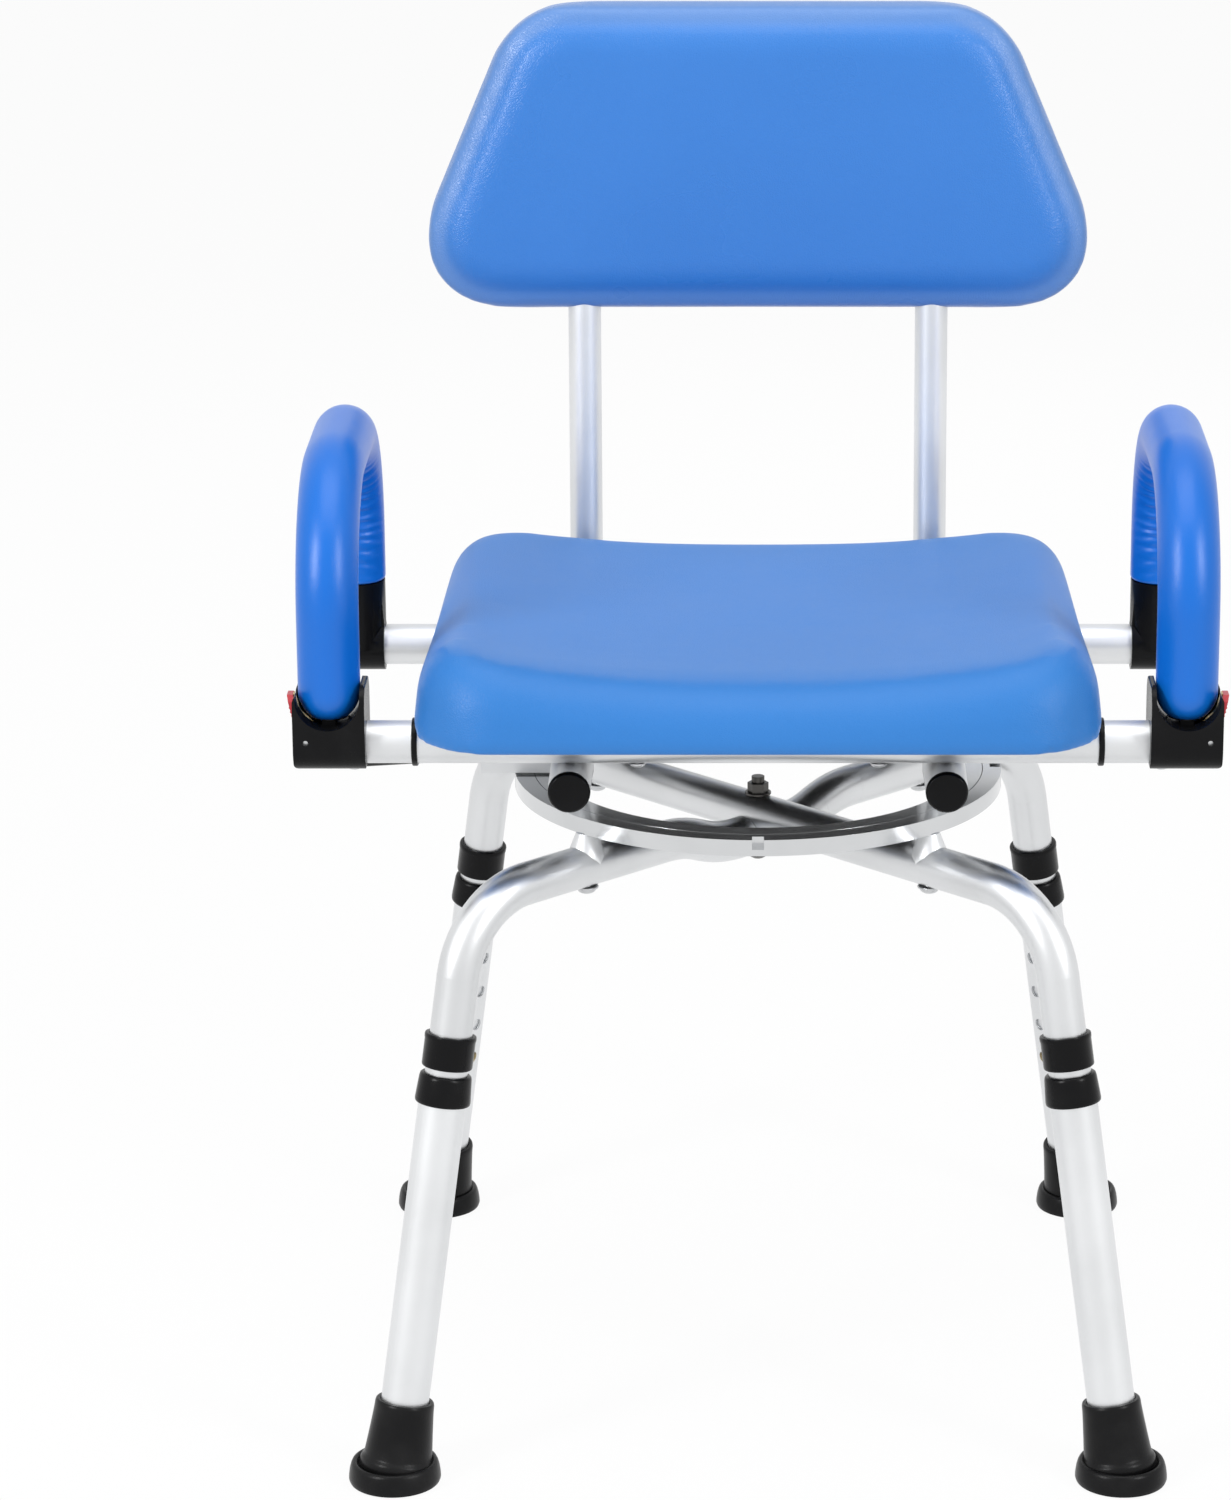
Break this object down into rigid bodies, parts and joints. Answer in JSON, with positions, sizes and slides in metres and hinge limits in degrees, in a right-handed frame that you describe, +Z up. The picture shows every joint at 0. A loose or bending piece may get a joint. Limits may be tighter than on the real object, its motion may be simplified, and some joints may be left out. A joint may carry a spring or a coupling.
{
  "type": "swivel bath chair",
  "caption": "Padded bath chair whose seat turns full circle on a ring bearing, with backrest, swing-up latched arms and telescopic splayed legs.",
  "frame": {"origin": "on the floor, on the swivel axis, midway between the feet", "axes": "+Z up, -Y the way the chair faces, +X to the sitter's left"},
  "size_m": [0.5554, 0.489, 0.8175],
  "materials": {
    "aluminium": "satin anodised tube",
    "steel": "zinc plated",
    "brass": "plain spring brass",
    "black_plastic": "moulded",
    "black_grip": "dipped, glossy",
    "rubber": "matt",
    "blue_foam": "integral-skin foam, fine grain",
    "red_plastic": "moulded",
    "board": "plain board"
  },
  "bodies": {
    "base": {"base_tube_upper": "aluminium", "base_tube_lower": "aluminium", "cross_bolt": "steel", "leg_collars": "black_plastic", "ring_outer": "aluminium", "base_spacers": "aluminium", "base_bolts": "steel"},
    "bearing": {"bearing_balls": "steel"},
    "seat": {"ring_inner": "aluminium", "seat_spacers": "aluminium", "seat_bolts": "steel", "runners": "aluminium", "runner_caps": "black_plastic", "cross_tube_front": "aluminium", "cross_tube_rear": "aluminium", "tube_grommets": "black_plastic", "seat_board": "board", "seat_pad": "blue_foam", "frame_screws": "steel", "back_posts": "aluminium", "backrest_pad": "blue_foam", "backrest_screws": "steel", "arm_socket_left": "black_plastic", "arm_socket_right": "black_plastic", "latch_pins": "steel", "rear_tube_plugs": "black_plastic", "arm_pivot_bolts": "steel", "lock_box": "aluminium", "lock_box_pad": "black_plastic", "lock_pivot_pin": "steel", "lock_spring": "brass", "latch_springs": "brass"},
    "lock_lever": {"lock_lever": "steel", "lock_grip": "black_grip"},
    "arm_left": {"arm_tube_left": "aluminium", "arm_pad_left": "blue_foam", "arm_elbow_left": "black_plastic", "arm_plug_left": "black_plastic"},
    "latch_left": {"latch_left": "red_plastic"},
    "arm_right": {"arm_tube_right": "aluminium", "arm_pad_right": "blue_foam", "arm_elbow_right": "black_plastic", "arm_plug_right": "black_plastic"},
    "latch_right": {"latch_right": "red_plastic"},
    "leg_front_left": {"leg_tube_front_left": "aluminium", "leg_bushing_front_left": "black_plastic", "foot_front_left": "rubber"},
    "button_front_left": {"snap_button_front_left": "brass"},
    "leg_front_right": {"leg_tube_front_right": "aluminium", "leg_bushing_front_right": "black_plastic", "foot_front_right": "rubber"},
    "button_front_right": {"snap_button_front_right": "brass"},
    "leg_rear_left": {"leg_tube_rear_left": "aluminium", "leg_bushing_rear_left": "black_plastic", "foot_rear_left": "rubber"},
    "button_rear_left": {"snap_button_rear_left": "brass"},
    "leg_rear_right": {"leg_tube_rear_right": "aluminium", "leg_bushing_rear_right": "black_plastic", "foot_rear_right": "rubber"},
    "button_rear_right": {"snap_button_rear_right": "brass"}
  },
  "joints": [
    {"name": "seat_swivel", "type": "hinge", "parent": "base", "child": "seat", "pos_m": [0, 0, 0.375], "axis": [0, 0, 1], "continuous": true},
    {"name": "bearing_spin", "type": "hinge", "parent": "base", "child": "bearing", "pos_m": [0, 0, 0.375], "axis": [0, 0, 1], "continuous": true},
    {"name": "lock_lever_hinge", "type": "hinge", "parent": "seat", "child": "lock_lever", "pos_m": [-0.1285, 0, 0.394], "axis": [0, 1, 0], "range_deg": [-9, 8], "stiffness_Nm_per_rad": 3, "springref_deg": 1.15, "deforming": ["lock_spring"]},
    {"name": "arm_left_swing", "type": "hinge", "parent": "seat", "child": "arm_left", "pos_m": [0.253, 0.095, 0.43096], "axis": [-1, 0, 0], "range_deg": [0, 100]},
    {"name": "latch_left_press", "type": "hinge", "parent": "seat", "child": "latch_left", "pos_m": [0.266, -0.118, 0.43616], "axis": [0, -1, 0], "range_deg": [-7.5, 4], "stiffness_Nm_per_rad": 0.2},
    {"name": "arm_right_swing", "type": "hinge", "parent": "seat", "child": "arm_right", "pos_m": [-0.253, 0.095, 0.43096], "axis": [-1, 0, 0], "range_deg": [0, 100]},
    {"name": "latch_right_press", "type": "hinge", "parent": "seat", "child": "latch_right", "pos_m": [-0.266, -0.118, 0.43616], "axis": [0, 1, 0], "range_deg": [-7.5, 4], "stiffness_Nm_per_rad": 0.2, "deforming": ["latch_springs"]},
    {"name": "leg_front_left_slide", "type": "slide", "parent": "base", "child": "leg_front_left", "axis": [0.1313, -0.1313, -0.9826], "range_m": [0, 0.075]},
    {"name": "button_front_left_pop", "type": "slide", "parent": "base", "child": "button_front_left", "axis": [-0.6948, 0.6948, -0.1857], "range_m": [0, 0.003], "stiffness_N_per_m": 800},
    {"name": "leg_front_right_slide", "type": "slide", "parent": "base", "child": "leg_front_right", "axis": [-0.1313, -0.1313, -0.9826], "range_m": [0, 0.075]},
    {"name": "button_front_right_pop", "type": "slide", "parent": "base", "child": "button_front_right", "axis": [0.6948, 0.6948, -0.1857], "range_m": [0, 0.003], "stiffness_N_per_m": 800},
    {"name": "leg_rear_left_slide", "type": "slide", "parent": "base", "child": "leg_rear_left", "axis": [0.1313, 0.1313, -0.9826], "range_m": [0, 0.075]},
    {"name": "button_rear_left_pop", "type": "slide", "parent": "base", "child": "button_rear_left", "axis": [-0.6948, -0.6948, -0.1857], "range_m": [0, 0.003], "stiffness_N_per_m": 800},
    {"name": "leg_rear_right_slide", "type": "slide", "parent": "base", "child": "leg_rear_right", "axis": [-0.1313, 0.1313, -0.9826], "range_m": [0, 0.075]},
    {"name": "button_rear_right_pop", "type": "slide", "parent": "base", "child": "button_rear_right", "axis": [0.6948, -0.6948, -0.1857], "range_m": [0, 0.003], "stiffness_N_per_m": 800}
  ],
  "couplings": [
    {"joint": "bearing_spin", "follows": "seat_swivel", "ratio": 0.5}
  ]
}
